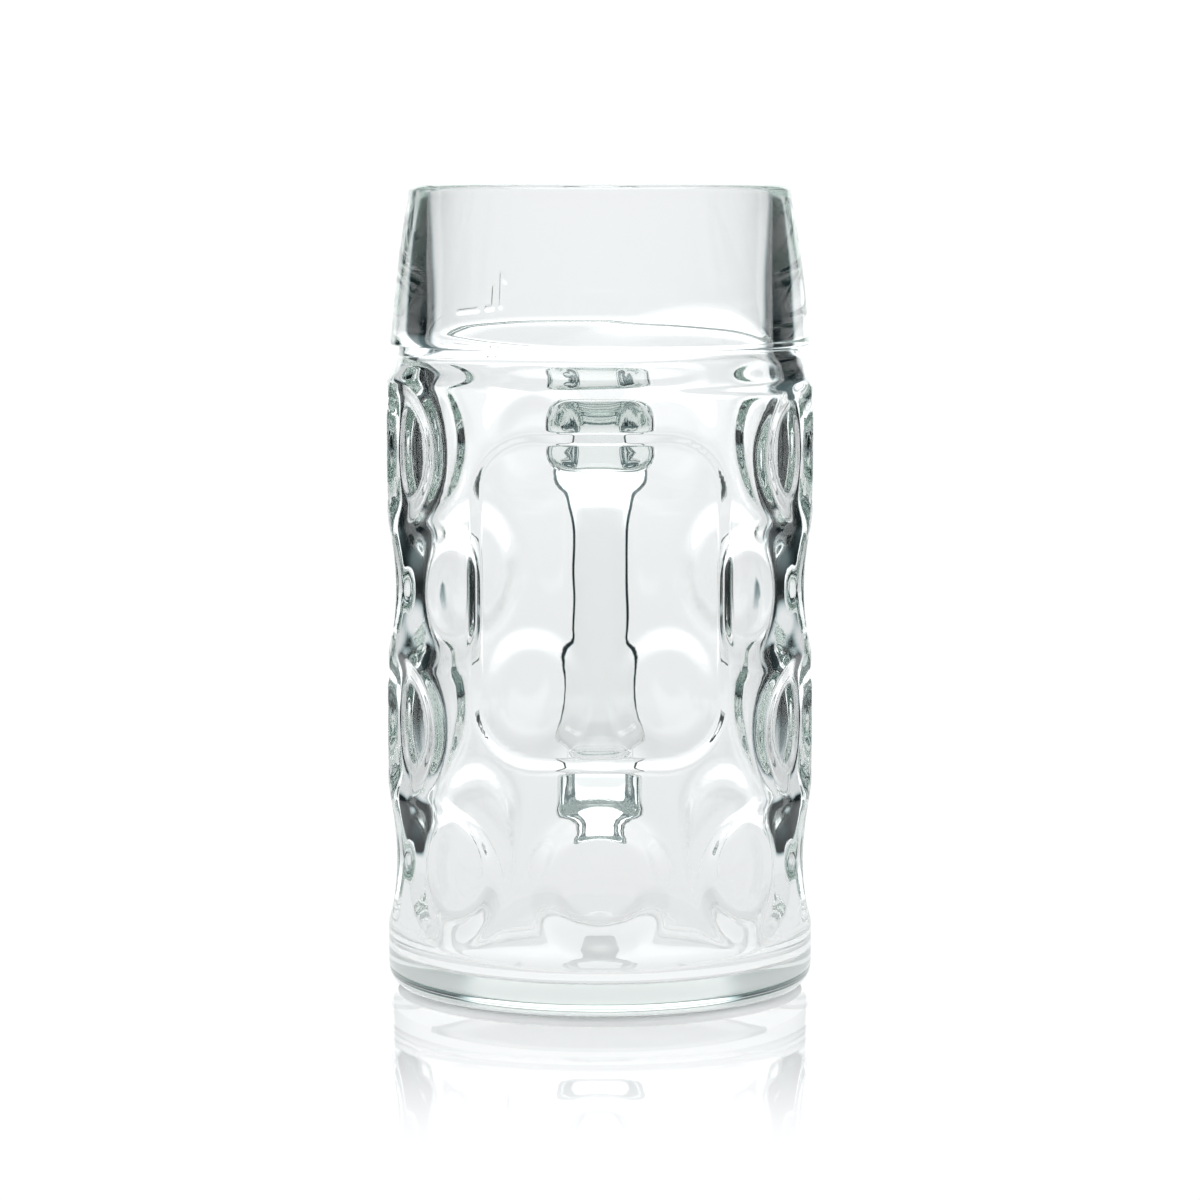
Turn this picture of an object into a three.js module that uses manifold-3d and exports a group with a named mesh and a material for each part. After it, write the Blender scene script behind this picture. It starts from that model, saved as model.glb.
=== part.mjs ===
// A one-litre glass beer mug: a thick-walled barrel with rows of round flat-bottomed dimples that swell
// the inner wall too, a heavy collar above a groove, a smooth raised panel at the front, and a pressed
// glass handle with a narrow waist, sealed to two flat lands.
// Millimetres, +Z up. The origin is on the mug's axis, in the plane of its foot ring.
// The panel faces -Y and the handle stands out along +Y.
import * as THREE from "three";
import { mergeVertices } from "three/addons/utils/BufferGeometryUtils.js";
import Module from "manifold-3d";

const wasm = await Module();
wasm.setup();

// Overall sizes
const HEIGHT = 200;
const BODY_RADIUS = 53;

// Foot and base
const FOOT_RING_WIDTH = 9;
const HEEL_ROUND = 3;
const RECESS_DEPTH = 1;
const FLOOR_THICKNESS = 7.5;
const FLOOR_CORNER = 8;

// Collar, rim and groove
const COLLAR_HEIGHT = 39.5;
const COLLAR_RADIUS = 52;
const COLLAR_BULGE = 0.5;
const COLLAR_LIP = 1.2;
const RIM_RADIUS = 47.5;
const RIM_ROUND = 2;
const BORE_RADIUS = 43.2;
const GROOVE_RADIUS = 49.9;
const GROOVE_HEIGHT = 9;

// Wall between the dimples, and the cavity's shoulder under the collar
const WALL = 7.2;
const SHOULDER_HEIGHT = 11;

// Dimples
const ROW_COUNT = 4;
const FIRST_ROW_Z = 34;
const ROW_PITCH = 33.6;
const DIMPLES_PER_ROW = 8;
const DIMPLE_RADIUS = 18.5;
const DIMPLE_BOTTOM = 10;
const DIMPLE_DEPTH = 2.8;
const INNER_SHARE = 0.5;

// Front panel
const PANEL_WIDTH = 59;
const PANEL_HEIGHT = 78;
const PANEL_CORNER = 14;
const PANEL_RAISE = 1;

// Handle and the lands it is sealed to
const HANDLE_REACH = 50;
const UPPER_WIDTH = 25;
const WAIST_WIDTH = 14.5;
const LOWER_WIDTH = 19;
const UPPER_ARM = 16.5;
const LOWER_ARM = 19.5;
const GRIP_THICKNESS = 15.5;
const SQUARENESS = 0.55;
const UPPER_LAND_Z = 135;
const WAIST_Z = 82;
const LOWER_LAND_Z = 41.5;
const GRIP_SLANT = 12;
const OUTER_UPPER_BEND = 30;
const OUTER_LOWER_BEND = 10;
const INNER_UPPER_BEND = 12;
const INNER_LOWER_BEND = 8;
const FLARE = 1.5;
const FLARE_LENGTH = 6;
const LAND_RISE = 1;
const LAND_MARGIN = 1;
const LAND_CORNER = 8;

// Facets
const OUTER_SEGMENTS = 72;
const CAVITY_SEGMENTS = 56;
const OUTER_STEP = 4.2;
const CAVITY_STEP = 5.6;
const ARC_STEPS = 4;
const HANDLE_SIDES = 24;
const ARM_STEPS = 6;
const BEND_STEPS = 12;
const GRIP_STEPS = 10;

const COLLAR_Z = HEIGHT - COLLAR_HEIGHT;
const BARREL_TOP_Z = COLLAR_Z - GROOVE_HEIGHT;
const FOOT_RADIUS = BODY_RADIUS - HEEL_ROUND;
const PANEL_Z = FIRST_ROW_Z + 2 * ROW_PITCH;
const LAND_Y = BODY_RADIUS + LAND_RISE;
const CAVITY_RADIUS = BODY_RADIUS - WALL;

const GLASS = new THREE.MeshStandardMaterial({
  name: "clear_glass",
  color: 0xe9f1ee,
  roughness: 0.03,
  metalness: 0,
  transparent: true,
  opacity: 0.35,
});

// Points on a circular arc in the profile plane, both ends included, angles in degrees.
function arc(centreR, centreZ, radius, fromDegrees, toDegrees) {
  return Array.from({ length: ARC_STEPS + 1 }, (_, i) => {
    const angle = THREE.MathUtils.degToRad(THREE.MathUtils.lerp(fromDegrees, toDegrees, i / ARC_STEPS));
    return new THREE.Vector2(centreR + radius * Math.cos(angle), centreZ + radius * Math.sin(angle));
  });
}

// Points on a smooth S between two profile points, both ends included and vertical there.
function sweepBetween(from, to, steps) {
  return Array.from({ length: steps + 1 }, (_, i) => {
    const t = i / steps;
    const r = THREE.MathUtils.lerp(from.x, to.x, THREE.MathUtils.smoothstep(t, 0, 1));
    return new THREE.Vector2(r, THREE.MathUtils.lerp(from.y, to.y, t));
  });
}

// Points on an upright wall between two heights, no further apart than the given step, ends left out.
function wall(radius, fromZ, toZ, step) {
  const count = Math.ceil(Math.abs(toZ - fromZ) / step);
  return Array.from({ length: count - 1 }, (_, i) =>
    new THREE.Vector2(radius, THREE.MathUtils.lerp(fromZ, toZ, (i + 1) / count)));
}

// A closed geometry as a solid for cutting and joining.
function solidOf(geometry) {
  const bare = geometry.clone();
  bare.deleteAttribute("normal");
  bare.deleteAttribute("uv");
  const merged = mergeVertices(bare, 1e-4);
  return new wasm.Manifold(new wasm.Mesh({
    numProp: 3,
    vertProperties: new Float32Array(merged.attributes.position.array),
    triVerts: new Uint32Array(merged.index.array),
  }));
}

// A solid's triangles as a geometry again.
function geometryOf(solid) {
  const mesh = solid.getMesh();
  const corners = new Float32Array(mesh.vertProperties);
  const geometry = new THREE.BufferGeometry();
  geometry.setAttribute("position", new THREE.BufferAttribute(corners, mesh.numProp));
  geometry.setIndex(new THREE.BufferAttribute(new Uint32Array(mesh.triVerts), 1));
  geometry.computeVertexNormals();
  return geometry;
}

// A profile turned about Z, with azimuth 0 at the front (-Y) and growing towards +X.
function turned(profile, segments) {
  return new THREE.LatheGeometry(profile, segments).rotateX(Math.PI / 2);
}

// A flat outline in the XZ plane made into a block that ends in a face at the given Y.
function blockEndingAt(y, depth, shape) {
  return new THREE.ExtrudeGeometry(shape, { depth, bevelEnabled: false, curveSegments: ARC_STEPS })
    .rotateX(Math.PI / 2)
    .translate(0, y, 0);
}

// A rectangle with round corners, centred at the given height.
function roundedRectangle(width, height, corner, centreZ) {
  const x = width / 2;
  const low = centreZ - height / 2;
  const high = centreZ + height / 2;
  const round = Math.min(corner, x, height / 2);
  const shape = new THREE.Shape();
  shape.moveTo(-x + round, low);
  shape.lineTo(x - round, low);
  shape.absarc(x - round, low + round, round, -Math.PI / 2, 0);
  shape.lineTo(x, high - round);
  shape.absarc(x - round, high - round, round, 0, Math.PI / 2);
  shape.lineTo(-x + round, high);
  shape.absarc(-x + round, high - round, round, Math.PI / 2, Math.PI);
  shape.lineTo(-x, low + round);
  shape.absarc(-x + round, low + round, round, Math.PI, 1.5 * Math.PI);
  return shape;
}

// Centres of the dimples. Every other row is turned by half a pitch. The panel takes the place of those
// that lie under it, and the wall stays plain straight behind the handle.
function dimpleCentres() {
  const pitch = (2 * Math.PI) / DIMPLES_PER_ROW;
  const centres = [];
  for (let row = 0; row < ROW_COUNT; row++) {
    const z = FIRST_ROW_Z + row * ROW_PITCH;
    for (let i = 0; i < DIMPLES_PER_ROW; i++) {
      const azimuth = (i + (row % 2) / 2) * pitch;
      const aside = Math.abs(BODY_RADIUS * Math.sin(azimuth));
      const atFront = Math.cos(azimuth) > 0;
      const underPanel = atFront && aside < PANEL_WIDTH / 2 && Math.abs(z - PANEL_Z) < PANEL_HEIGHT / 2;
      const behindHandle = !atFront && aside < WAIST_WIDTH / 2;
      if (!underPanel && !behindHandle) centres.push({ azimuth, z });
    }
  }
  return centres;
}

const DIMPLES = dimpleCentres();

// How deep the dimples go at a point of the wall. Each is a shallow pan whose bottom runs round with the
// barrel, and whose side rises in a smooth S from the bottom's edge to the dimple's rim.
function dimpleDepth(azimuth, z) {
  let nearest = DIMPLE_RADIUS;
  for (const centre of DIMPLES) {
    const turn = Math.atan2(Math.sin(azimuth - centre.azimuth), Math.cos(azimuth - centre.azimuth));
    nearest = Math.min(nearest, Math.hypot(turn * BODY_RADIUS, z - centre.z));
  }
  return DIMPLE_DEPTH * (1 - THREE.MathUtils.smoothstep(nearest, DIMPLE_BOTTOM, DIMPLE_RADIUS));
}

// Pushes a turned geometry's wall, beyond the given radius, in towards the axis by a share of the dimples.
function dimpled(geometry, fromRadius, depthShare) {
  const position = geometry.attributes.position;
  for (let i = 0; i < position.count; i++) {
    const x = position.getX(i);
    const y = position.getY(i);
    const r = Math.hypot(x, y);
    if (r < fromRadius) continue;
    const kept = 1 - depthShare * dimpleDepth(Math.atan2(x, -y), position.getZ(i)) / r;
    position.setXY(i, x * kept, y * kept);
  }
  return geometry;
}

// The outside: foot ring, heel, dimpled barrel, groove, collar and rim, solid to the axis.
function outsideSolid() {
  const collarFoot = new THREE.Vector2(COLLAR_RADIUS, COLLAR_Z + COLLAR_LIP);
  const collarHead = new THREE.Vector2(RIM_RADIUS, HEIGHT - RIM_ROUND);
  const bulgeRadius = (COLLAR_RADIUS + RIM_RADIUS) / 2 + 2 * COLLAR_BULGE;
  const bulge = new THREE.Vector2(bulgeRadius, (collarFoot.y + collarHead.y) / 2);
  const collarSide = new THREE.QuadraticBezierCurve(collarFoot, bulge, collarHead);
  const barrelTop = new THREE.Vector2(BODY_RADIUS, BARREL_TOP_Z);
  const grooveFoot = new THREE.Vector2(GROOVE_RADIUS, COLLAR_Z - COLLAR_LIP);
  const profile = [
    new THREE.Vector2(0, RECESS_DEPTH),
    new THREE.Vector2(FOOT_RADIUS - FOOT_RING_WIDTH - RECESS_DEPTH, RECESS_DEPTH),
    new THREE.Vector2(FOOT_RADIUS - FOOT_RING_WIDTH, 0),
    ...arc(FOOT_RADIUS, HEEL_ROUND, HEEL_ROUND, -90, 0),
    ...wall(BODY_RADIUS, HEEL_ROUND, BARREL_TOP_Z, OUTER_STEP),
    ...sweepBetween(barrelTop, grooveFoot, ARC_STEPS),
    new THREE.Vector2(GROOVE_RADIUS, COLLAR_Z),
    ...collarSide.getPoints(ARC_STEPS),
    ...arc(RIM_RADIUS - RIM_ROUND, HEIGHT - RIM_ROUND, RIM_ROUND, 0, 90).slice(1),
    new THREE.Vector2(0, HEIGHT),
  ];
  return solidOf(dimpled(turned(profile, OUTER_SEGMENTS), CAVITY_RADIUS, 1));
}

// The space for the beer: a floor with a round corner, a wall that swells in behind each dimple, a
// shoulder and the bore.
function cavitySolid() {
  const boreZ = COLLAR_Z + COLLAR_LIP;
  const mouthRadius = BORE_RADIUS + RIM_ROUND;
  const cornerTop = FLOOR_THICKNESS + FLOOR_CORNER;
  const wallTop = new THREE.Vector2(CAVITY_RADIUS, boreZ - SHOULDER_HEIGHT);
  const boreFoot = new THREE.Vector2(BORE_RADIUS, boreZ);
  const profile = [
    new THREE.Vector2(0, FLOOR_THICKNESS),
    ...arc(CAVITY_RADIUS - FLOOR_CORNER, cornerTop, FLOOR_CORNER, -90, 0),
    ...wall(CAVITY_RADIUS, cornerTop, wallTop.y, CAVITY_STEP),
    ...sweepBetween(wallTop, boreFoot, ARC_STEPS),
    ...arc(mouthRadius, HEIGHT - RIM_ROUND, RIM_ROUND, 180, 90),
    new THREE.Vector2(mouthRadius, HEIGHT + RIM_ROUND),
    new THREE.Vector2(0, HEIGHT + RIM_ROUND),
  ];
  return solidOf(dimpled(turned(profile, CAVITY_SEGMENTS), BORE_RADIUS, INNER_SHARE));
}

// The raised panel at the front, round with the barrel.
function panelSolid() {
  const radius = BODY_RADIUS + PANEL_RAISE;
  const outline = roundedRectangle(PANEL_WIDTH, PANEL_HEIGHT, PANEL_CORNER, PANEL_Z);
  const block = solidOf(blockEndingAt(0, 2 * BODY_RADIUS, outline));
  const drum = new THREE.CylinderGeometry(radius, radius, HEIGHT, OUTER_SEGMENTS)
    .rotateX(Math.PI / 2)
    .translate(0, 0, HEIGHT / 2);
  return block.intersect(solidOf(drum));
}

// A flat land at the back for one end of the handle, a little larger than that end all round.
function landSolid(width, arm, z) {
  const spread = 2 * (FLARE + LAND_MARGIN);
  const outline = roundedRectangle(width + spread, arm + spread, LAND_CORNER, z);
  return solidOf(blockEndingAt(LAND_Y, LAND_Y, outline));
}

// The body: everything that the mould forms, less the cavity.
function glassBody() {
  return geometryOf(
    outsideSolid()
      .add(panelSolid())
      .add(landSolid(UPPER_WIDTH, UPPER_ARM, UPPER_LAND_Z))
      .add(landSolid(LOWER_WIDTH, LOWER_ARM, LOWER_LAND_Z))
      .subtract(cavitySolid()));
}

// One outline of the handle in the YZ plane: out from the upper land, round a bend, down the grip, which
// slants in towards the body, round a bend and back in. The grip touches both bends, which sets the lower
// one's place. Every outline has the same number of points, so that points pair up between two.
function handleOutline(back, high, low, upperBend, lowerBend) {
  const slant = THREE.MathUtils.degToRad(GRIP_SLANT);
  const upperY = back - upperBend;
  const upperZ = high - upperBend;
  const lowerZ = low + lowerBend;
  const lowerY = upperY + ((lowerZ - upperZ) * Math.sin(slant) + upperBend - lowerBend) / Math.cos(slant);
  const upper = new THREE.EllipseCurve(upperY, upperZ, upperBend, upperBend, Math.PI / 2, -slant, true);
  const lower = new THREE.EllipseCurve(lowerY, lowerZ, lowerBend, lowerBend, -slant, -Math.PI / 2, true);
  const upperArm = new THREE.LineCurve(new THREE.Vector2(LAND_Y, high), upper.getPoint(0));
  const grip = new THREE.LineCurve(upper.getPoint(1), lower.getPoint(0));
  const lowerArm = new THREE.LineCurve(lower.getPoint(1), new THREE.Vector2(LAND_Y, low));
  return [
    ...upperArm.getPoints(ARM_STEPS).slice(0, -1),
    ...upper.getPoints(BEND_STEPS),
    ...grip.getPoints(GRIP_STEPS).slice(1, -1),
    ...lower.getPoints(BEND_STEPS),
    ...lowerArm.getPoints(ARM_STEPS).slice(1),
  ];
}

// A closed skin over rings of points of equal count, with a flat cap on the first and the last ring.
function lofted(rings) {
  const sides = rings[0].length;
  const capCentres = [rings[0], rings[rings.length - 1]].map((ring) =>
    ring.reduce((sum, p) => sum.add(p), new THREE.Vector3()).divideScalar(sides));
  const points = [...rings.flat(), ...capCentres];
  const first = rings.length * sides;
  const index = [];
  for (let i = 0; i < sides; i++) {
    const next = (i + 1) % sides;
    for (let k = 0; k + 1 < rings.length; k++) {
      const a = k * sides + i;
      const b = k * sides + next;
      index.push(a, a + sides, b, b, a + sides, b + sides);
    }
    const last = (rings.length - 1) * sides;
    index.push(first, i, next, first + 1, last + next, last + i);
  }
  const geometry = new THREE.BufferGeometry().setFromPoints(points);
  geometry.setIndex(index);
  geometry.computeVertexNormals();
  return geometry;
}

// The handle's width by height: narrow at the waist, wide at the upper arm, wider again at the lower one.
function handleWidth(z) {
  const above = THREE.MathUtils.smoothstep(z, WAIST_Z, UPPER_LAND_Z - UPPER_ARM / 2);
  const below = THREE.MathUtils.smoothstep(-z, -WAIST_Z, -LOWER_LAND_Z - LOWER_ARM / 2);
  return WAIST_WIDTH + (UPPER_WIDTH - WAIST_WIDTH) * above + (LOWER_WIDTH - WAIST_WIDTH) * below;
}

// Squares an oval's sides, so that the section lies between an ellipse and a rectangle.
function squared(share) {
  return Math.sign(share) * Math.abs(share) ** SQUARENESS;
}

// The handle: a squared oval section stretched between an outer and an inner outline, flaring to a wider
// seal at each land.
function handleGeometry() {
  const back = LAND_Y + HANDLE_REACH;
  const outer = handleOutline(
    back, UPPER_LAND_Z + UPPER_ARM / 2, LOWER_LAND_Z - LOWER_ARM / 2, OUTER_UPPER_BEND, OUTER_LOWER_BEND);
  const inner = handleOutline(
    back - GRIP_THICKNESS, UPPER_LAND_Z - UPPER_ARM / 2, LOWER_LAND_Z + LOWER_ARM / 2,
    INNER_UPPER_BEND, INNER_LOWER_BEND);
  const rings = outer.map((far, k) => {
    const centre = far.clone().lerp(inner[k], 0.5);
    const outward = far.clone().sub(centre);
    const flare = FLARE * Math.max(0, 1 - (centre.x - LAND_Y) / FLARE_LENGTH) ** 2;
    const halfWidth = handleWidth(centre.y) / 2 + flare;
    outward.setLength(outward.length() + flare);
    return Array.from({ length: HANDLE_SIDES }, (_, i) => {
      const angle = (2 * Math.PI * i) / HANDLE_SIDES;
      const across = halfWidth * squared(Math.cos(angle));
      const out = squared(Math.sin(angle));
      return new THREE.Vector3(across, centre.x + outward.x * out, centre.y + outward.y * out);
    });
  });
  return lofted(rings);
}

function named(name, geometry) {
  const mesh = new THREE.Mesh(geometry, GLASS);
  mesh.name = name;
  return mesh;
}

const mug = new THREE.Group();
mug.add(named("glass_body", glassBody()));
mug.add(named("handle", handleGeometry()));

export default mug;
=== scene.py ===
"""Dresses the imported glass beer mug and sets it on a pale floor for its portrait.

The vessel is one closed surface: a profile turned about the mug's axis, pushed in by the dimples and out by
the panel and the capacity mark. The handle is a squarish section carried between two outlines.
"""
import logging
import math
from dataclasses import dataclass, field
from enum import Enum
from typing import Callable, ClassVar

import bpy
import numpy as np
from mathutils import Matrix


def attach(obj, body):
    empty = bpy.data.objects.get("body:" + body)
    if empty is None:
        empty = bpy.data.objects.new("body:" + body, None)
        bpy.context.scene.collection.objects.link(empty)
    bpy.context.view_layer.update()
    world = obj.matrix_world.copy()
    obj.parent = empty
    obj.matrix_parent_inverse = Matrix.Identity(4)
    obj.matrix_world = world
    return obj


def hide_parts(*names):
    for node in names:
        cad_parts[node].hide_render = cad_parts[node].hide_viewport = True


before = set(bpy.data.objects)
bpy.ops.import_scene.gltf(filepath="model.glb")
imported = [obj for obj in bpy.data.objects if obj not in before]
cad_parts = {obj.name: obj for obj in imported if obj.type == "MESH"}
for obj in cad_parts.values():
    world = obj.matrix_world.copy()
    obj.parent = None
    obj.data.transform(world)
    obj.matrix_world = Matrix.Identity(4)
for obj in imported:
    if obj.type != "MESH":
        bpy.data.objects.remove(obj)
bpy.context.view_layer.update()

# Metres in a millimetre, the millimetres within which two sizes count as the same, and a share near nothing.
MM = 0.001
HAIR = 0.01
TINY = 1e-6
SLOT = "clear_glass"
BODY = "root"
LOG = logging.getLogger("mug")

# Where a smooth step starts and ends, a colour with its alpha, and a surface seen along Y: y from x and z.
Span = tuple[float, float]
Colour = tuple[float, float, float, float]
Surface = Callable[[np.ndarray, np.ndarray], np.ndarray]

WHITE: Colour = (1.0, 1.0, 1.0, 1.0)


class Face(Enum):
    """How a face of the glass is finished. All but the polished finish have a face attribute."""

    POLISHED = 0
    SEAL = 1
    BASE = 2

    @property
    def attribute(self) -> str:
        """Name of the face attribute that is 1 on this finish."""
        return self.name.lower()


class Socket:
    """A node socket that takes part in Python expressions by adding Math nodes."""

    def __init__(self, tree: "ShaderTree", link: bpy.types.NodeSocket | None) -> None:
        """Keeps the socket and the tree that new nodes go into.

        Args:
            tree: The tree that holds the socket's node.
            link: The output socket, or None where the node has no output.
        """
        self.tree = tree
        self.link = link

    def sibling(self, name: str) -> "Socket":
        """Another output of the same node."""
        return Socket(self.tree, self.link.node.outputs[name])

    def math(self, operation: str, *others: "Socket | float") -> "Socket":
        """Adds a Math node with this socket first.

        Args:
            operation: The Math node's operation.
            others: The further operands.

        Returns:
            The result.
        """
        return self.tree.node("ShaderNodeMath", {"operation": operation}, dict(enumerate((self, *others))))

    def __add__(self, other: "Socket | float") -> "Socket":
        """Sum."""
        return self.math("ADD", other)

    def __mul__(self, other: "Socket | float") -> "Socket":
        """Product."""
        return self.math("MULTIPLY", other)

    def __sub__(self, other: "Socket | float") -> "Socket":
        """Difference."""
        return self.math("SUBTRACT", other)

    def __rsub__(self, other: float) -> "Socket":
        """Difference from a plain number."""
        return self.tree.node("ShaderNodeMath", {"operation": "SUBTRACT"}, {0: other, 1: self})

    def __truediv__(self, other: "Socket | float") -> "Socket":
        """Quotient."""
        return self.math("DIVIDE", other)

    __radd__ = __add__
    __rmul__ = __mul__

    def step(self, low: float, high: float) -> "Socket":
        """Smooth step from 0 at low to 1 at high.

        Args:
            low: Where the step starts.
            high: Where it ends.

        Returns:
            The step's value.
        """
        settings = {"interpolation_type": "SMOOTHSTEP"}
        inputs = {"Value": self, "From Min": low, "From Max": high}
        return self.tree.node("ShaderNodeMapRange", settings, inputs, "Result")


class ShaderTree:
    """A node tree that is filled from one method."""

    def __init__(self, owner: bpy.types.Material | bpy.types.World) -> None:
        """Clears the owner's tree.

        Args:
            owner: The material or world.
        """
        owner.use_nodes = True
        self.tree = owner.node_tree
        self.tree.nodes.clear()

    def node(self, kind: str, settings: dict, inputs: dict, output: str | int = 0) -> Socket:
        """Adds a node.

        Args:
            kind: The node's type.
            settings: Its properties, set first.
            inputs: Values or links by socket name or place.
            output: The output that is wanted.

        Returns:
            That output, or an empty socket where the node has none.
        """
        made = self.tree.nodes.new(kind)
        for key, value in settings.items():
            setattr(made, key, value)
        for key, value in inputs.items():
            if isinstance(value, Socket):
                self.tree.links.new(value.link, made.inputs[key])
            else:
                made.inputs[key].default_value = value
        return Socket(self, made.outputs[output] if len(made.outputs) else None)


def smooth(value: np.ndarray, low: float, high: float) -> np.ndarray:
    """Smooth step: 3t^2 - 2t^3 with t running from 0 at low to 1 at high.

    Args:
        value: The values.
        low: Where the step starts.
        high: Where it ends.

    Returns:
        The steps.
    """
    t = np.clip((value - low) / (high - low), 0.0, 1.0)
    return t * t * (3.0 - 2.0 * t)


def rounded_box(x: np.ndarray, z: np.ndarray, width: float, height: float, corner: float) -> np.ndarray:
    """Distance outside a rectangle with round corners, negative inside it.

    Args:
        x: Across from the centre.
        z: Up from the centre.
        width: The rectangle's width.
        height: Its height.
        corner: Its corners' radius.

    Returns:
        The signed distances.
    """
    across = np.abs(x) - width / 2 + corner
    up = np.abs(z) - height / 2 + corner
    outside = np.hypot(np.maximum(across, 0.0), np.maximum(up, 0.0))
    return outside + np.minimum(np.maximum(across, up), 0.0) - corner


def arc(centre_r: float, centre_z: float, radius: float, start: float, end: float, count: int) -> np.ndarray:
    """Profile points on a circular arc: centre + radius (cos a, sin a), angles in degrees.

    Args:
        centre_r: The centre's distance from the axis.
        centre_z: The centre's height.
        radius: The arc's radius.
        start: First angle.
        end: Last angle.
        count: Number of points, both ends included.

    Returns:
        Rows of distance and height.
    """
    angle = np.radians(np.linspace(start, end, count))
    return np.stack([centre_r + radius * np.cos(angle), centre_z + radius * np.sin(angle)], axis=1)


def run(start: tuple[float, float], end: tuple[float, float], count: int, soft: bool = False) -> np.ndarray:
    """Profile points from one place to another, straight, or as an S that is upright at both ends.

    Args:
        start: First distance and height.
        end: Last distance and height.
        count: Number of points, both ends included.
        soft: Whether the run is an S.

    Returns:
        Rows of distance and height.
    """
    t = np.linspace(0.0, 1.0, count)
    across = smooth(t, 0.0, 1.0) if soft else t
    r = start[0] + (end[0] - start[0]) * across
    return np.stack([r, start[1] + (end[1] - start[1]) * t], axis=1)


def closed_mesh(name: str, rings: np.ndarray, ends: np.ndarray, finish: np.ndarray) -> bpy.types.Object:
    """A closed skin over rings of points, with a fan of triangles over each end.

    Args:
        name: The piece's name.
        rings: Points in millimetres, by ring, by place round the ring.
        ends: The two points that close the first and the last ring.
        finish: Finish of each face, by band, with a fan's row at either end, by place round the ring.

    Returns:
        The new object, in metres at the origin.
    """
    count, around = rings.shape[:2]
    points = np.concatenate([rings.reshape(-1, 3), ends]) * MM
    place = np.arange(count * around).reshape(count, around)
    after = np.roll(place, -1, axis=1)
    quads = np.stack([place[:-1], after[:-1], after[1:], place[1:]], axis=-1).reshape(-1, 4)
    low, high = count * around, count * around + 1
    first = np.stack([np.full(around, low), after[0], place[0]], axis=1)
    last = np.stack([np.full(around, high), place[-1], after[-1]], axis=1)
    loops = np.concatenate([quads.ravel(), first.ravel(), last.ravel()])
    sides = np.concatenate([np.full(len(quads), 4), np.full(2 * around, 3)])
    starts = np.concatenate([[0], np.cumsum(sides)[:-1]])
    mesh = bpy.data.meshes.new(name)
    mesh.vertices.add(len(points))
    mesh.vertices.foreach_set("co", points.ravel())
    mesh.loops.add(len(loops))
    mesh.loops.foreach_set("vertex_index", loops.astype(np.int32))
    mesh.polygons.add(len(sides))
    mesh.polygons.foreach_set("loop_start", starts.astype(np.int32))
    mesh.polygons.foreach_set("use_smooth", np.ones(len(sides), dtype=bool))
    mesh.update(calc_edges=True)
    finishes = np.concatenate([finish[1:-1].ravel(), finish[0], finish[-1]])
    for face in (Face.SEAL, Face.BASE):
        layer = mesh.attributes.new(face.attribute, "FLOAT", "FACE")
        layer.data.foreach_set("value", (finishes == face.value).astype(np.float32))
    mesh.validate()
    piece = bpy.data.objects.new(name, mesh)
    bpy.context.scene.collection.objects.link(piece)
    return piece


@dataclass(frozen=True)
class ClearGlass:
    """Fire-polished soda-lime glass: clear, with the faint green of its iron in long paths.

    The underside is rough and hazy from the mould. Where the handle is sealed on, glass meets glass, and
    nothing is to be seen of the faces between them.
    """

    refraction: float = 1.52
    tint: Colour = (0.635, 0.8, 0.725, 1.0)
    density: float = 4.0
    ripple_size: float = 45.0
    ripple_detail: float = 1.0
    ripple_depth: float = 0.00012
    base_roughness: float = 0.3
    base_haze: float = 0.55

    def material(self) -> bpy.types.Material:
        """Makes the material.

        Returns:
            The material.
        """
        made = bpy.data.materials.new(SLOT)
        tree = ShaderTree(made)
        where = tree.node("ShaderNodeTexCoord", {}, {}, "Object")
        ripple = tree.node("ShaderNodeTexNoise", {}, {
            "Vector": where,
            "Scale": self.ripple_size,
            "Detail": self.ripple_detail,
        })
        bump = tree.node("ShaderNodeBump", {}, {
            "Height": ripple,
            "Distance": self.ripple_depth,
            "Strength": 1.0,
        })
        seal, base = (
            tree.node("ShaderNodeAttribute", {"attribute_name": face.attribute}, {}, "Fac")
            for face in (Face.SEAL, Face.BASE)
        )
        glass = tree.node("ShaderNodeBsdfPrincipled", {}, {
            "Base Color": WHITE,
            "Roughness": base * self.base_roughness,
            "IOR": self.refraction,
            "Transmission Weight": 1.0,
            "Normal": bump,
        })
        haze = tree.node("ShaderNodeBsdfTranslucent", {}, {"Color": WHITE})
        hazed = tree.node("ShaderNodeMixShader", {}, {0: base * self.base_haze, 1: glass, 2: haze})
        clear = tree.node("ShaderNodeBsdfTransparent", {}, {})
        surface = tree.node("ShaderNodeMixShader", {}, {0: seal, 1: hazed, 2: clear})
        tint = tree.node("ShaderNodeVolumeAbsorption", {}, {"Color": self.tint, "Density": self.density})
        tree.node("ShaderNodeOutputMaterial", {}, {"Surface": surface, "Volume": tint})
        return made


@dataclass
class GlassPiece:
    """A piece of the mug that stands for one CAD node."""

    node: ClassVar[str] = ""

    def dress(self, piece: bpy.types.Object, glass: bpy.types.Material) -> None:
        """Gives the piece its material, hangs it on the mug's body and hides the CAD node it stands for.

        Args:
            piece: The piece's object.
            glass: The material.
        """
        piece.data.materials.append(glass)
        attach(piece, BODY)
        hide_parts(self.node)
        LOG.info("%s: %d faces", piece.name, len(piece.data.polygons))


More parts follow.
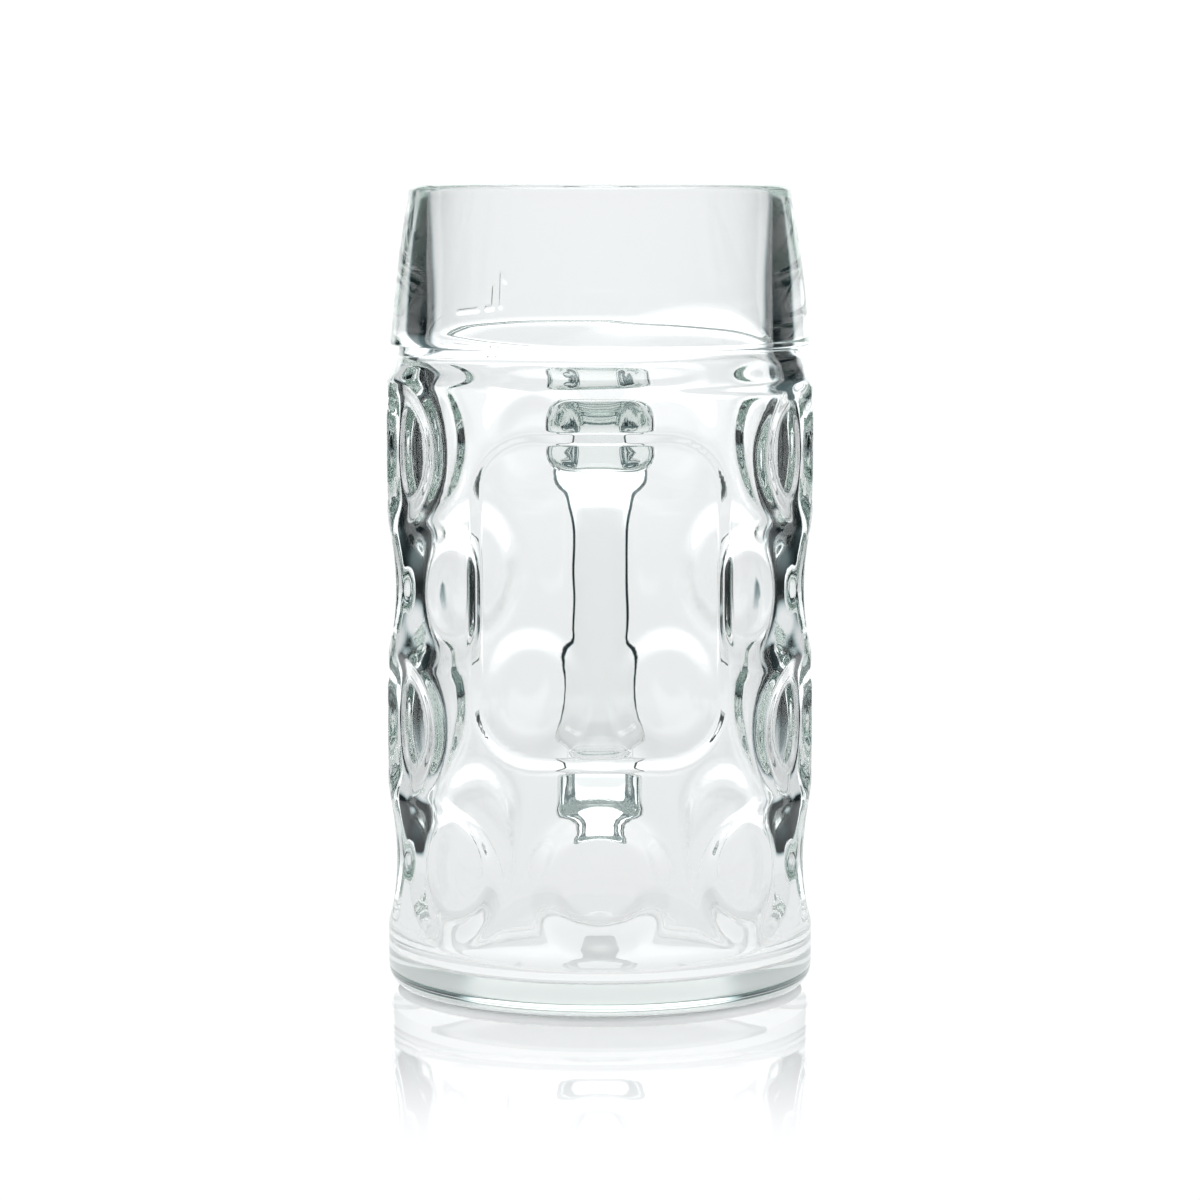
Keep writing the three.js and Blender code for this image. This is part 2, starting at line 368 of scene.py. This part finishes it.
@dataclass
class Dimples:
    """Rows of round dimples, every other row turned by half a pitch. Millimetres.

    The skipped ones, by row and place in the row, lie under the panel or straight behind the handle.
    """

    rows: int = 4
    first_row: float = 34.0
    row_pitch: float = 33.6
    per_row: int = 8
    radius: float = 18.5
    flat: float = 10.0
    depth: float = 2.8
    hollow: float = 0.05
    hollow_end: float = 1.5
    skipped: tuple = ((1, 0.5), (1, 7.5), (3, 0.5), (3, 7.5), (2, 0.0), (2, 4.0), (0, 4.0))

    def centres(self) -> np.ndarray:
        """Azimuths and heights of the dimples, without the skipped ones.

        Returns:
            Rows of azimuth in radians and height.
        """
        places = [(row, i + (row % 2) / 2) for row in range(self.rows) for i in range(self.per_row)]
        kept = np.array([place for place in places if place not in self.skipped])
        turn = kept[:, 1] * 2 * math.pi / self.per_row
        return np.stack([turn, self.first_row + kept[:, 0] * self.row_pitch], axis=1)

    def cover(self, azimuth: np.ndarray, z: np.ndarray, wall: float) -> np.ndarray:
        """Depth of the nearest dimple: a shallow pan D (1 - h (d/f)^2) with a smooth step up to the wall.

        d is the distance along the wall from the dimple's centre, f the radius of the pan's bottom and h how
        hollow that is. The pan stops falling off at hollow_end times f, and the step runs from f to the
        dimple's radius.

        Args:
            azimuth: Azimuths of the points.
            z: Heights of the points.
            wall: The barrel's radius.

        Returns:
            The depth at each point.
        """
        nearest = np.full(azimuth.shape, 2.0 * self.radius)
        for centre, height in self.centres():
            turn = np.angle(np.exp(1j * (azimuth - centre)))
            nearest = np.minimum(nearest, np.hypot(turn * wall, z - height))
        pan = 1.0 - self.hollow * np.minimum(nearest / self.flat, self.hollow_end) ** 2
        return self.depth * pan * (1.0 - smooth(nearest, self.flat, self.radius))


@dataclass
class Panel:
    """The smooth raised panel at the front. Millimetres.

    The bevel narrows from edge to end_edge over end_span, given as a share of the height from the middle.
    The swelling of the wall behind the panel fades in over the distances of fade from its outline.
    """

    width: float = 59.0
    height: float = 78.0
    corner: float = 14.0
    rise: float = 1.0
    centre: float = 101.2
    edge: float = 1.6
    end_edge: float = 1.0
    end_span: Span = (0.3, 0.48)
    fade: Span = (2.0, 7.0)

    def off(self, x: np.ndarray, z: np.ndarray) -> np.ndarray:
        """Distance outside the panel's outline, negative inside it."""
        return rounded_box(x, z - self.centre, self.width, self.height, self.corner)

    def mask(self, x: np.ndarray, y: np.ndarray, z: np.ndarray) -> np.ndarray:
        """1 on the panel, 0 off it, with a bevel between: 1/2 - off / (2 edge), held within 0 and 1.

        Args:
            x: Across.
            y: Back.
            z: Up.

        Returns:
            The mask.
        """
        end = smooth(np.abs(z - self.centre) / self.height, *self.end_span)
        edge = self.edge + (self.end_edge - self.edge) * end
        return np.clip(0.5 - 0.5 * self.off(x, z) / edge, 0.0, 1.0) * (y < 0)

    def clear_of(self, x: np.ndarray, y: np.ndarray, z: np.ndarray) -> np.ndarray:
        """0 behind the panel and 1 away from it, with a smooth step beside its outline.

        Args:
            x: Across.
            y: Back.
            z: Up.

        Returns:
            The share.
        """
        return np.where(y < 0, smooth(self.off(x, z), *self.fade), 1.0)


@dataclass
class FillMark:
    """The raised capacity mark at the back of the collar: a figure, a letter and the filling line.

    Places are millimetres along the collar from the middle of the back, and turn is the figure's and the
    letter's azimuth in half turns from the front.
    """

    line_z: float = 164.1
    height: float = 7.6
    stroke: float = 0.45
    rise: float = 0.5
    soft: float = 0.4
    figure_at: float = 31.0
    flag_width: float = 1.4
    flag_drop: float = 1.8
    letter_at: float = 34.0
    letter_width: float = 2.8
    letter_share: float = 0.6
    line_span: tuple[float, float] = (40.4, 50.4)
    turn: float = 1.215

    def strokes(self) -> np.ndarray:
        """Straight strokes as rows of start and end, in millimetres along the collar and up.

        Returns:
            Rows of s0, z0, s1, z1, with s measured from the middle of the back.
        """
        low, high = self.line_z, self.line_z + self.height
        return np.array([
            (self.figure_at, low, self.figure_at, high),
            (self.figure_at, high, self.figure_at - self.flag_width, high - self.flag_drop),
            (self.letter_at, low, self.letter_at, low + self.letter_share * self.height),
            (self.letter_at, low, self.letter_at + self.letter_width, low),
            (self.line_span[0], low, self.line_span[1], low),
        ])

    def relief(self, s: np.ndarray, z: np.ndarray) -> np.ndarray:
        """Height of the mark: full within half a stroke of a line, falling softly to nothing beside it.

        Args:
            s: Along the collar from the middle of the back.
            z: Up.

        Returns:
            How far the mark stands out.
        """
        nearest = np.full(s.shape, np.inf)
        for s0, z0, s1, z1 in self.strokes():
            ds, dz = s1 - s0, z1 - z0
            t = np.clip(((s - s0) * ds + (z - z0) * dz) / (ds * ds + dz * dz), 0.0, 1.0)
            nearest = np.minimum(nearest, np.hypot(s - s0 - t * ds, z - z0 - t * dz))
        return self.rise * smooth(-nearest, -self.stroke - self.soft, -self.stroke + self.soft)


@dataclass
class Handle(GlassPiece):
    """The pressed glass handle, between an outer and an inner outline in the YZ plane. Millimetres.

    The outlines start at land_y, the plane of the solid's flat lands, and the ends then bend over to the
    body. A hair's gap at each seal keeps the handle's end and the body's face apart, so that light crosses
    both. The body's faces count as sealed down to seal_depth within that plane.
    """

    node: ClassVar[str] = "handle"
    upper_width: float = 28.0
    waist_width: float = 18.0
    lower_width: float = 21.5
    waist_top: float = 106.0
    waist_z: float = 82.0
    upper_z: float = 135.0
    lower_z: float = 41.5
    upper_arm: float = 16.5
    lower_arm: float = 19.5
    grip: float = 15.5
    reach: float = 50.0
    land_y: float = 54.0
    seal_gap: float = 0.1
    seal_depth: float = 6.5
    slant: float = 12.0
    outer_bends: tuple[float, float] = (20.0, 10.0)
    inner_bends: tuple[float, float] = (12.0, 8.0)
    flare: float = 1.5
    flare_length: float = 5.0
    squareness: float = 0.45
    around: int = 96
    arm_rings: int = 50
    bend_rings: int = 50
    cap_rings: int = 10

    def outline(self, side: float, bends: tuple[float, float]) -> np.ndarray:
        """One outline: out from the upper seal, round a bend, down the slanting grip, round a bend and in.

        The grip touches both bends, so that the lower one's centre lies at
        y1 + ((z2 - z1) sin s + r1 - r2) / cos s, with s the slant, and r1, y1, z1 and r2, z2 the two bends.
        The rings of the arms crowd towards the seals.

        Args:
            side: 1 for the outer outline, -1 for the inner one.
            bends: Radii of the upper and the lower bend.

        Returns:
            Rows of Y and Z, the same number for both outlines.
        """
        high = self.upper_z + side * self.upper_arm / 2
        low = self.lower_z - side * self.lower_arm / 2
        up, down = bends
        slant = math.radians(self.slant)
        y1 = self.land_y + self.reach - self.grip * (1.0 - side) / 2 - up
        z1, z2 = high - up, low + down
        y2 = y1 + ((z2 - z1) * math.sin(slant) + up - down) / math.cos(slant)
        share = np.linspace(0.0, 1.0, self.arm_rings, endpoint=False) ** 2
        upper = arc(y1, z1, up, 90.0, -self.slant, self.bend_rings)
        lower = arc(y2, z2, down, -self.slant, -90.0, self.bend_rings)
        return np.concatenate([
            np.stack([self.land_y + (y1 - self.land_y) * share, high + 0 * share], axis=1),
            upper,
            run(tuple(upper[-1]), tuple(lower[0]), self.arm_rings)[1:-1],
            lower,
            np.stack([self.land_y + (y2 - self.land_y) * share, low + 0 * share], axis=1)[::-1],
        ])

    def widths(self, z: np.ndarray) -> np.ndarray:
        """Width by height: a smooth step from the waist up to the upper arm, and one down to the lower arm.

        Args:
            z: Heights.

        Returns:
            The widths.
        """
        above = smooth(z, self.waist_top, self.upper_z - self.upper_arm / 2)
        below = smooth(-z, -self.waist_z, -self.lower_z - self.lower_arm / 2)
        wider = (self.upper_width - self.waist_width) * above + (self.lower_width - self.waist_width) * below
        return self.waist_width + wider

    def in_seal(self, x: np.ndarray, y: np.ndarray, z: np.ndarray) -> np.ndarray:
        """Whether points of the body lie under one of the handle's two ends.

        Args:
            x: Across.
            y: Back.
            z: Up.

        Returns:
            True under an end.
        """
        power = 2.0 / self.squareness
        wide = self.widths(z) / 2 + self.flare
        inside = np.zeros(x.shape, dtype=bool)
        for centre, arm in ((self.upper_z, self.upper_arm), (self.lower_z, self.lower_arm)):
            tall = arm / 2 + self.flare
            inside |= np.abs(x / wide) ** power + np.abs((z - centre) / tall) ** power < 1.0
        return inside & (y > self.land_y - self.seal_depth)

    def build(self, back: Surface) -> bpy.types.Object:
        """The section |x/a|^n + |d/b|^n = 1 between the two outlines, with a round fillet at each end.

        The fillet widens the section by f (1 - sqrt(1 - t^2)), where t runs from 0 at its start to 1 at the
        body, and the rings bend over from a flat section to the body's surface.

        Args:
            back: The body's surface at the back.

        Returns:
            The handle.
        """
        outer, inner = self.outline(1.0, self.outer_bends), self.outline(-1.0, self.inner_bends)
        centre, half = (outer + inner) / 2, np.linalg.norm(outer - inner, axis=1, keepdims=True) / 2
        way = (outer - inner) / (2 * half)
        near = np.maximum(0.0, 1.0 - (centre[:, :1] - self.land_y) / self.flare_length)
        flare = self.flare * (1.0 - np.sqrt(1.0 - near * near))
        angle = np.linspace(0.0, 2 * math.pi, self.around, endpoint=False)[None, :]
        across = np.sign(np.cos(angle)) * np.abs(np.cos(angle)) ** self.squareness
        out = np.sign(np.sin(angle)) * np.abs(np.sin(angle)) ** self.squareness
        d = (half + flare) * out
        y = centre[:, :1] + way[:, :1] * d
        z = centre[:, 1:] + way[:, 1:] * d
        x = (self.widths(z) / 2 + flare) * across
        shift = back(x, z) + self.seal_gap - self.land_y
        y = np.where(near > 0.0, y + shift * smooth(near, 0.0, 1.0), y)
        rings = np.stack([x, y, z], axis=-1)[:, ::-1]
        upper, lower = (self.cap(rings[i], z0, back) for i, z0 in ((0, self.upper_z), (-1, self.lower_z)))
        rings = np.concatenate([upper[:-1], rings, lower[:-1][::-1]])
        middle = np.array([self.upper_z, self.lower_z])
        ends = np.stack([0 * middle, back(0 * middle, middle) + self.seal_gap, middle], axis=1)
        finish = np.full((len(rings) + 1, self.around), Face.POLISHED.value)
        finish[:self.cap_rings] = Face.SEAL.value
        finish[-self.cap_rings:] = Face.SEAL.value
        return closed_mesh("glass_handle", rings, ends, finish)

    def cap(self, ring: np.ndarray, centre: float, back: Surface) -> np.ndarray:
        """Rings that close an end on the body's surface: the end ring drawn in towards its middle.

        Args:
            ring: The end ring.
            centre: The middle's height.
            back: The body's surface at the back.

        Returns:
            Rings from near the middle out to the end ring.
        """
        share = np.linspace(1.0 / self.cap_rings, 1.0, self.cap_rings)[:, None]
        x = ring[None, :, 0] * share
        z = centre + (ring[None, :, 2] - centre) * share
        return np.stack([x, back(x, z) + self.seal_gap, z], axis=-1)


@dataclass(frozen=True)
class RingCounts:
    """How many rings of points each stretch of the vessel's profile has, from the recess to the floor."""

    recess: int = 10
    recess_edge: int = 2
    foot: int = 5
    heel: int = 8
    barrel: int = 114
    groove: int = 12
    groove_corner: int = 3
    collar_corner: int = 4
    collar: int = 64
    rim: int = 7
    bore: int = 12
    shoulder: int = 16
    wall: int = 50
    floor_corner: int = 14
    floor: int = 7


@dataclass
class GlassBody(GlassPiece):
    """The vessel. Millimetres, with azimuth 0 at the front and growing towards +X.

    The blown shoulder wanders in height by waves of a size, a number of turns and a lead in degrees, which
    fade out over wave_fade below and above it. The mark is laid out on a circle that lies mark_inset within
    the collar's widest one. Each gap lies between the last ring of one stretch of the profile and the first
    ring of the next. The middles are the radii of the innermost rings.
    """

    node: ClassVar[str] = "glass_body"
    handle: Handle
    dimples: Dimples = field(default_factory=Dimples)
    panel: Panel = field(default_factory=Panel)
    mark: FillMark = field(default_factory=FillMark)
    rings: RingCounts = field(default_factory=RingCounts)
    height: float = 200.0
    radius: float = 53.0
    foot_ring: float = 9.0
    heel: float = 6.0
    recess: float = 1.0
    floor: float = 7.5
    floor_corner: float = 8.0
    collar_height: float = 39.5
    collar_radius: float = 52.0
    collar_bulge: float = 0.5
    lip: float = 1.2
    rim_radius: float = 47.5
    rim_round: float = 2.0
    bore: float = 43.2
    groove_radius: float = 49.9
    groove_height: float = 9.0
    groove_corner: float = 0.3
    collar_corner: float = 0.5
    wall: float = 7.2
    shoulder: float = 11.0
    waves: tuple = ((3.0, 2, 50.0), (1.4, 3, 40.0))
    wave_fade: tuple[float, float] = (20.0, 15.0)
    bulge: float = 0.5
    mark_inset: float = 1.0
    base_middle: float = 4.0
    floor_middle: float = 3.0
    foot_gaps: tuple[float, float] = (1.0, 0.5)
    barrel_gaps: tuple[float, float] = (1.0, 0.6)
    rim_start: float = 10.0
    bore_gap: float = 2.5
    wall_gap: float = 2.0
    floor_gap: float = 4.0
    collar_crowding: float = 1.25
    around: int = 288
    fineness: int = 25
    repeats: int = 6
    crowding: float = 1.6
    edge_spread: float = 0.05
    mark_spread: float = 0.13

    def azimuths(self) -> np.ndarray:
        """Azimuths that crowd together at the panel's edges and at the fill mark.

        Returns:
            The azimuths in radians.
        """
        fine = np.linspace(0.0, 2 * math.pi, self.fineness * self.around + 1)
        density = np.ones_like(fine)
        edge = math.asin(self.panel.width / 2 / self.radius)
        crowds = (
            (edge, self.edge_spread),
            (2 * math.pi - edge, self.edge_spread),
            (math.pi * self.mark.turn, self.mark_spread),
        )
        for place, spread in crowds:
            density += self.crowding * np.exp(-(((fine - place) / spread) ** 2))
        share = np.concatenate([[0.0], np.cumsum((density[1:] + density[:-1]) / 2)])
        return np.interp(np.linspace(0.0, share[-1], self.around, endpoint=False), share, fine)

    def outside(self) -> np.ndarray:
        """Profile from the recess over the foot ring and barrel to the top of the rim.

        The collar's side is R + (T - R) t + 4 b t (1 - t), where t runs from 0 at its foot to 1 at its top,
        R and T are the radii there, and b is the bulge.

        Returns:
            Rows of distance and height.
        """
        rings = self.rings
        foot = self.radius - self.heel
        inner = foot - self.foot_ring
        collar = self.height - self.collar_height
        barrel = collar - self.groove_height
        bottom, top = collar + self.lip, self.height - self.rim_round
        t = np.linspace(0.0, 1.0, rings.collar) ** self.collar_crowding
        side_z = bottom + (top - bottom) * t
        taper = (self.rim_radius - self.collar_radius) * t
        side_r = self.collar_radius + taper + 4 * self.collar_bulge * t * (1 - t)
        groove_r, groove_c = self.groove_radius, self.groove_corner
        collar_r, collar_c = self.collar_radius, self.collar_corner
        foot_from, foot_to = inner + self.foot_gaps[0], foot - self.foot_gaps[1]
        barrel_from, barrel_to = self.heel + self.barrel_gaps[0], barrel - self.barrel_gaps[1]
        return np.concatenate([
            run((self.base_middle, self.recess), (inner - self.recess, self.recess), rings.recess),
            run((inner - self.recess / 2, self.recess / 2), (inner, 0.0), rings.recess_edge),
            run((foot_from, 0.0), (foot_to, 0.0), rings.foot),
            arc(foot, self.heel, self.heel, -90, 0, rings.heel),
            run((self.radius, barrel_from), (self.radius, barrel_to), rings.barrel),
            run((self.radius, barrel), (groove_r, collar - self.lip), rings.groove, soft=True),
            arc(groove_r + groove_c, collar - groove_c, groove_c, 180, 90, rings.groove_corner),
            arc(collar_r - collar_c, collar + collar_c, collar_c, -90, 0, rings.collar_corner),
            np.stack([side_r, side_z], axis=1),
            arc(self.rim_radius - self.rim_round, top, self.rim_round, self.rim_start, 90, rings.rim),
        ])

    def inside(self) -> np.ndarray:
        """Profile from the top of the rim down the bore, shoulder and wall to the floor.

        Returns:
            Rows of distance and height.
        """
        rings = self.rings
        wall = self.radius - self.wall
        flat = wall - self.floor_corner
        mouth = self.bore + self.rim_round
        top = self.height - self.rim_round
        bore_z = self.height - self.collar_height + self.lip
        low = self.floor + self.floor_corner
        return np.concatenate([
            arc(mouth, top, self.rim_round, 90, 180, rings.rim),
            run((self.bore, top - self.bore_gap), (self.bore, bore_z + self.bore_gap), rings.bore),
            run((self.bore, bore_z), (wall, bore_z - self.shoulder), rings.shoulder, soft=True),
            run((wall, bore_z - self.shoulder - self.wall_gap), (wall, low + self.wall_gap), rings.wall),
            arc(flat, low, self.floor_corner, 0, -90, rings.floor_corner),
            run((flat - self.floor_gap, self.floor), (self.floor_middle, self.floor), rings.floor),
        ])

    def barrel(self, theta: np.ndarray, z: np.ndarray) -> np.ndarray:
        """The barrel's radius: round, less the dimples, with the panel laid over them.

        Args:
            theta: Azimuths.
            z: Heights.

        Returns:
            The radius at each point.
        """
        x, y = self.radius * np.sin(theta), -self.radius * np.cos(theta)
        panel = self.panel.mask(x, y, z)
        dimples = self.dimples.cover(theta, z, self.radius) * (1.0 - panel)
        return self.radius - dimples + self.panel.rise * panel

    def back(self, x: np.ndarray, z: np.ndarray) -> np.ndarray:
        """How far back the barrel's surface is: y with (x, y) at the barrel's radius, found by repetition.

        Args:
            x: Across.
            z: Up.

        Returns:
            The surface's y.
        """
        r = np.full(np.broadcast(x, z).shape, self.radius)
        for _ in range(self.repeats):
            r = self.barrel(math.pi - np.arcsin(x / r), z + 0 * x)
        return np.sqrt(r * r - x * x)

    def outer_points(self, azimuth: np.ndarray) -> np.ndarray:
        """The outside: the profile with the dimpled barrel in its upright part and the mark on its collar.

        Args:
            azimuth: The azimuths.

        Returns:
            Points by ring and azimuth.
        """
        profile = self.outside()
        theta, z = np.meshgrid(azimuth, profile[:, 1])
        upright = profile[:, :1] > self.radius - HAIR
        r = np.where(upright, self.barrel(theta, z), profile[:, :1])
        collar = z > self.height - self.collar_height + self.lip
        s = (theta - math.pi) * (self.collar_radius - self.mark_inset)
        r = r + self.mark.relief(s, z) * collar
        return np.stack([r * np.sin(theta), -r * np.cos(theta), z], axis=-1)

    def inner_points(self, azimuth: np.ndarray) -> np.ndarray:
        """The inside: the profile, swollen in behind the dimples, with its shoulder wandering up and down.

        Args:
            azimuth: The azimuths.

        Returns:
            Points by ring and azimuth.
        """
        profile = self.inside()
        theta, z = np.meshgrid(azimuth, profile[:, 1])
        upright = profile[:, :1] > self.radius - self.wall - HAIR
        x, y = self.radius * np.sin(theta), -self.radius * np.cos(theta)
        swell = self.dimples.cover(theta, z, self.radius) * self.panel.clear_of(x, y, z)
        r = profile[:, :1] - self.bulge * swell * upright
        z = z + self.sag(theta - math.pi, z)
        return np.stack([r * np.sin(theta), -r * np.cos(theta), z], axis=-1)

    def sag(self, turn: np.ndarray, z: np.ndarray) -> np.ndarray:
        """How far the shoulder wanders up: the sum of size cos(turns (a + lead)), faded out above and below.

        Args:
            turn: Azimuths a from the middle of the back.
            z: Heights.

        Returns:
            The shifts in height.
        """
        top = self.height - self.collar_height + self.lip
        low = top - self.shoulder
        below, above = self.wave_fade
        near = smooth(z, low - below, low) * (1.0 - smooth(z, top, top + above))
        wave = sum(size * np.cos(turns * (turn + math.radians(lead))) for size, turns, lead in self.waves)
        return near * wave

    def build(self) -> bpy.types.Object:
        """Joins outside and inside at the rim and closes the recess and the floor on the axis.

        Returns:
            The vessel.
        """
        azimuth = self.azimuths()
        rings = np.concatenate([self.outer_points(azimuth), self.inner_points(azimuth)[1:]])
        ends = np.array([(0.0, 0.0, self.recess), (0.0, 0.0, self.floor)])
        middle = (rings[:-1] + rings[1:]) / 2
        middle = (middle + np.roll(middle, -1, axis=1)) / 2
        finish = np.full((len(rings) + 1, self.around), Face.POLISHED.value)
        finish[1:-1][self.handle.in_seal(*np.moveaxis(middle, -1, 0))] = Face.SEAL.value
        finish[1:-1][middle[..., 2] < self.recess + HAIR] = Face.BASE.value
        finish[0] = Face.BASE.value
        return closed_mesh("glass_vessel", rings, ends, finish)


@dataclass
class Studio:
    """Camera, floor and light. Metres, watts, and brightness with 1 for white.

    The spans of the table, the near light, the painted contact shadow and the mirror are distances from the
    mug's axis. The other spans are parts of a direction, with 1 for straight up or straight back, and on the
    floor the place stands in for the direction.
    """

    distance: float = 1.05
    eye_height: float = 0.2
    pitch: float = 5.62
    lens: float = 126.8
    sensor: float = 36.0
    clip_start: float = 0.05
    floor_radius: float = 6.0
    floor_sides: int = 64
    floor_seen: float = 1.03
    table: float = 0.84
    table_rise: float = 0.16
    table_middle: Span = (0.2, 0.6)
    table_far: Span = (0.6, 3.0)
    near: Span = (0.25, 0.6)
    # Painted contact shadow: how much the floor is darkened at the mug's foot, and where that fades out.
    contact_shadow: float = 0.55
    contact_shadow_edge: Span = (0.047, 0.053)
    mirror: float = 0.6
    mirror_edge: Span = (0.03, 0.2)
    mirror_roughness: float = 0.02
    backdrop: float = 1.34
    backdrop_seen: float = 1.1
    backdrop_rise: float = 0.27
    backdrop_up: Span = (0.02, 0.15)
    backdrop_side: Span = (0.85, 0.91)
    dim: float = 0.015
    fill: float = 0.15
    fill_up: Span = (0.0, 0.25)
    front: float = 0.2
    front_edge: Span = (-0.1, 0.1)
    lamp: float = 4.0
    lamp_bottom: Span = (0.74, 0.8)
    lamp_top: Span = (0.9, 0.96)
    white: Colour = (0.985, 1.0, 1.008, 1.0)
    slate: Colour = (0.64, 0.93, 1.0, 1.0)
    overhead_size: float = 3.0
    overhead_height: float = 3.0
    overhead_power: float = 8.0
    bounces: int = 32

    def camera(self) -> None:
        """Sets the camera at the mug's front, level with its rim and turned down to its middle."""
        data = bpy.data.cameras.new("portrait")
        data.lens = self.lens
        data.sensor_width = self.sensor
        data.clip_start = self.clip_start
        made = bpy.data.objects.new("portrait", data)
        made.location = (0.0, -self.distance, self.eye_height)
        made.rotation_euler = (math.radians(90.0 - self.pitch), 0.0, 0.0)
        bpy.context.scene.collection.objects.link(made)
        bpy.context.scene.camera = made

    def floor(self) -> None:
        """Lays a pale glossy round floor about the origin, with a painted contact shadow: a dark line at the
        mug's foot.
        """
        turn = np.linspace(0.0, 2 * math.pi, self.floor_sides, endpoint=False)
        rim = self.floor_radius * np.stack([np.cos(turn), np.sin(turn), 0 * turn], axis=1)
        mesh = bpy.data.meshes.new("floor")
        mesh.from_pydata(rim.tolist(), [], [list(range(self.floor_sides))])
        made = bpy.data.objects.new("floor", mesh)
        bpy.context.scene.collection.objects.link(made)
        material = bpy.data.materials.new("pale_floor")
        tree = ShaderTree(material)
        where = tree.node("ShaderNodeTexCoord", {}, {}, "Object")
        reach = tree.node("ShaderNodeVectorMath", {"operation": "LENGTH"}, {0: where}, "Value")
        clear = self.table + self.table_rise * (reach.step(*self.table_middle) + reach.step(*self.table_far))
        near = 1.0 - reach.step(*self.near)
        colour, level, camera = self.glow(tree, where, self.floor_seen, clear, near)
        # Painted contact shadow: camera rays see the floor's glow cut inside the foot's radius, a thin dark
        # line round the foot.
        level = level * (1.0 - camera * self.contact_shadow * (1.0 - reach.step(*self.contact_shadow_edge)))
        paint = tree.node("ShaderNodeEmission", {}, {"Color": self.lit(tree, colour, level)})
        polish = {"Color": WHITE, "Roughness": self.mirror_roughness}
        gloss = tree.node("ShaderNodeBsdfGlossy", {}, polish)
        share = camera * self.mirror * (1.0 - reach.step(*self.mirror_edge))
        both = tree.node("ShaderNodeMixShader", {}, {0: share, 1: paint, 2: gloss})
        tree.node("ShaderNodeOutputMaterial", {}, {"Surface": both})
        mesh.materials.append(material)

    def glow(
        self, tree: ShaderTree, place: Socket, seen: float, clear: Socket | float, near: Socket | float
    ) -> tuple[Socket, Socket, Socket]:
        """How bright the setting is to each kind of ray, as in a bright-field portrait of glass.

        Light that comes through the glass is bright from the backdrop, where y / hypot(x, y) is high, and
        from near the mug. It is dark from the sides and grey from above them. Polished glass mirrors the
        backdrop, a dim front and a lamp high in front.

        Args:
            tree: The shader tree.
            place: Direction, or place on the floor.
            seen: Brightness to the camera.
            clear: Brightness through the glass.
            near: How near the place is to the mug, from 0 to 1.

        Returns:
            The colour, the brightness, and 1 for rays from the camera.
        """
        camera = tree.node("ShaderNodeLightPath", {}, {}, "Is Camera Ray")
        gloss = camera.sibling("Is Reflection Ray")
        clean = camera.sibling("Is Singular Ray")
        through = camera.sibling("Is Transmission Ray")
        x = tree.node("ShaderNodeSeparateXYZ", {}, {"Vector": place}, "X")
        y, z = x.sibling("Y"), x.sibling("Z")
        along = y / (x * x + y * y + TINY).math("SQRT")
        bright = along.step(*self.backdrop_side).math("MAXIMUM", near)
        dark = self.dim + self.fill * z.step(*self.fill_up)
        inner = dark + (clear - dark) * bright
        front = 1.0 - y.step(*self.front_edge)
        lamp = self.lamp * z.step(*self.lamp_bottom) * (1.0 - z.step(*self.lamp_top))
        mirrored = front * (self.front + lamp) + bright * clear
        pale = 1.0 - through * (1.0 - bright)
        shades = {0: pale, 6: self.slate, 7: self.white}
        colour = tree.node("ShaderNodeMix", {"data_type": "RGBA"}, shades, 2)
        gleam = seen + clean * (mirrored - seen)
        return colour, camera * seen + gloss * gleam + through * inner, camera

    def lit(self, tree: ShaderTree, colour: Socket, level: Socket) -> Socket:
        """The colour times its brightness."""
        product = {"operation": "SCALE"}
        return tree.node("ShaderNodeVectorMath", product, {0: colour, "Scale": level}, "Vector")

    def light(self) -> None:
        """Lights the mug from a bright backdrop behind it, with dark sides and a soft lamp overhead."""
        scene = bpy.context.scene
        scene.world = bpy.data.worlds.new("studio")
        tree = ShaderTree(scene.world)
        way = tree.node("ShaderNodeTexCoord", {}, {}, "Generated")
        height = tree.node("ShaderNodeSeparateXYZ", {}, {"Vector": way}, "Z")
        clear = self.backdrop + self.backdrop_rise * height.step(*self.backdrop_up)
        colour, level, _ = self.glow(tree, way, self.backdrop_seen, clear, 0.0)
        back = tree.node("ShaderNodeBackground", {}, {"Color": self.lit(tree, colour, level)})
        tree.node("ShaderNodeOutputWorld", {}, {"Surface": back})
        lamp = bpy.data.lights.new("overhead", "AREA")
        lamp.size = self.overhead_size
        lamp.energy = self.overhead_power
        made = bpy.data.objects.new("overhead", lamp)
        made.location = (0.0, 0.0, self.overhead_height)
        scene.collection.objects.link(made)
        scene.view_settings.view_transform = "Standard"
        scene.cycles.max_bounces = self.bounces
        scene.cycles.transmission_bounces = self.bounces
        scene.cycles.glossy_bounces = self.bounces
        scene.cycles.transparent_max_bounces = self.bounces


def main() -> None:
    """Builds the mug and its setting in order."""
    logging.basicConfig(level=logging.INFO, format="%(name)s %(message)s")
    studio = Studio()
    studio.camera()
    studio.floor()
    studio.light()
    glass = ClearGlass().material()
    handle = Handle()
    body = GlassBody(handle)
    body.dress(body.build(), glass)
    handle.dress(handle.build(body.back), glass)


if __name__ == "__main__":
    main()
